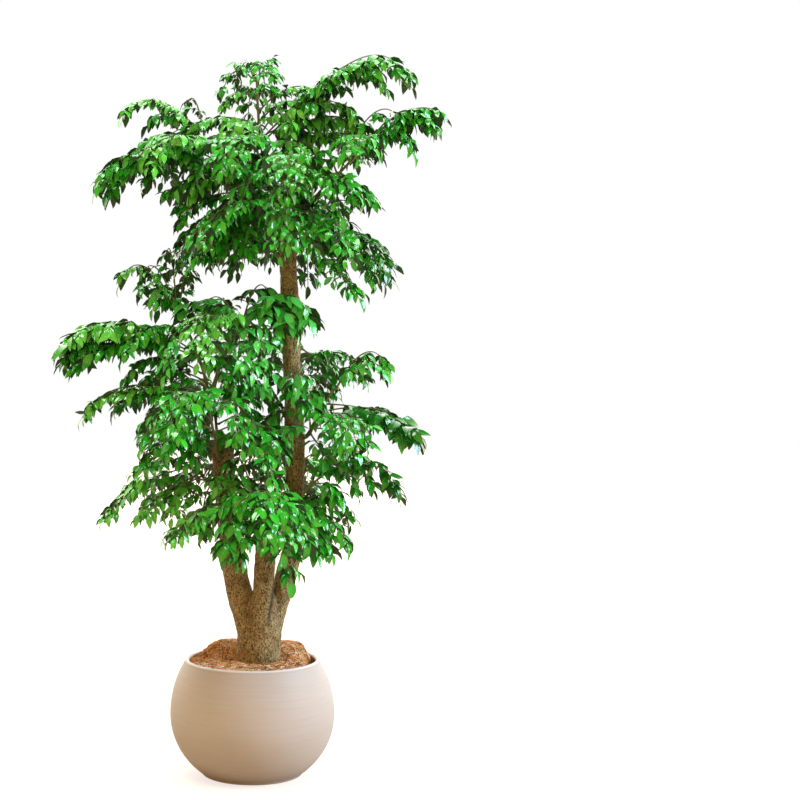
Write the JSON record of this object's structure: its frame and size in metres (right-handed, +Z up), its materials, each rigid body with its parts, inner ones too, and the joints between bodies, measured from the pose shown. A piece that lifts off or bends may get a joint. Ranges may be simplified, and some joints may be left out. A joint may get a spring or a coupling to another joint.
{
  "type": "potted china doll plant",
  "caption": "Tall china doll plant with pruned stems and drooping compound leaves in a round matte cream ball planter, standing on its flat foot.",
  "frame": {"origin": "centre of the pot's flat foot, on the surface that the pot stands on", "axes": "+Z up, +X to the side of the tallest stem, -Y the front"},
  "size_m": [0.987, 0.793, 1.7439],
  "materials": {
    "pot_ceramic": "matte",
    "soil": "matte",
    "coir": "matte",
    "old_bark": "matte",
    "young_bark": "matte",
    "leaf_green": "satin"
  },
  "bodies": {
    "root": {"pot": "pot_ceramic", "potting_soil": "soil", "coir_mulch": "coir", "trunk": "old_bark", "shoot_leader": "young_bark", "shoot_upper_right": "young_bark", "shoot_upper_left": "young_bark", "shoot_upper_front": "young_bark", "shoot_upper_back": "young_bark", "shoot_mid_right": "young_bark", "shoot_mid_back": "young_bark", "shoot_left": "young_bark", "shoot_left_inner": "young_bark", "shoot_left_front": "young_bark", "shoot_left_back": "young_bark", "shoot_left_low": "young_bark", "shoot_low_right": "young_bark", "shoot_low_front": "young_bark", "shoot_low_back": "young_bark", "leaf_top_left": "leaf_green", "leaf_top_right": "leaf_green", "leaf_top_front": "leaf_green", "leaf_top_back": "leaf_green", "leaf_high_right": "leaf_green", "leaf_high_front": "leaf_green", "leaf_high_back": "leaf_green", "leaf_right_tip": "leaf_green", "leaf_right_back": "leaf_green", "leaf_right_front": "leaf_green", "leaf_right_small": "leaf_green", "leaf_skirt_right": "leaf_green", "leaf_skirt_right_back": "leaf_green", "leaf_left_tip": "leaf_green", "leaf_left_back": "leaf_green", "leaf_left_front": "leaf_green", "leaf_left_mid": "leaf_green", "leaf_skirt_left": "leaf_green", "leaf_front_tip": "leaf_green", "leaf_front_left": "leaf_green", "leaf_front_right": "leaf_green", "leaf_back_tip": "leaf_green", "leaf_back_left": "leaf_green", "leaf_mid_right_top": "leaf_green", "leaf_mid_right": "leaf_green", "leaf_mid_right_front": "leaf_green", "leaf_mid_back": "leaf_green", "leaf_spray_high": "leaf_green", "leaf_spray_long": "leaf_green", "leaf_centre_bright": "leaf_green", "leaf_centre_front": "leaf_green", "leaf_left_front_low": "leaf_green", "leaf_left_front_side": "leaf_green", "leaf_centre_low": "leaf_green", "leaf_left_back_low": "leaf_green", "leaf_left_second": "leaf_green", "leaf_left_low": "leaf_green", "leaf_low_right": "leaf_green", "leaf_low_front": "leaf_green", "leaf_low_left": "leaf_green", "leaf_low_back": "leaf_green"}
  },
  "joints": []
}
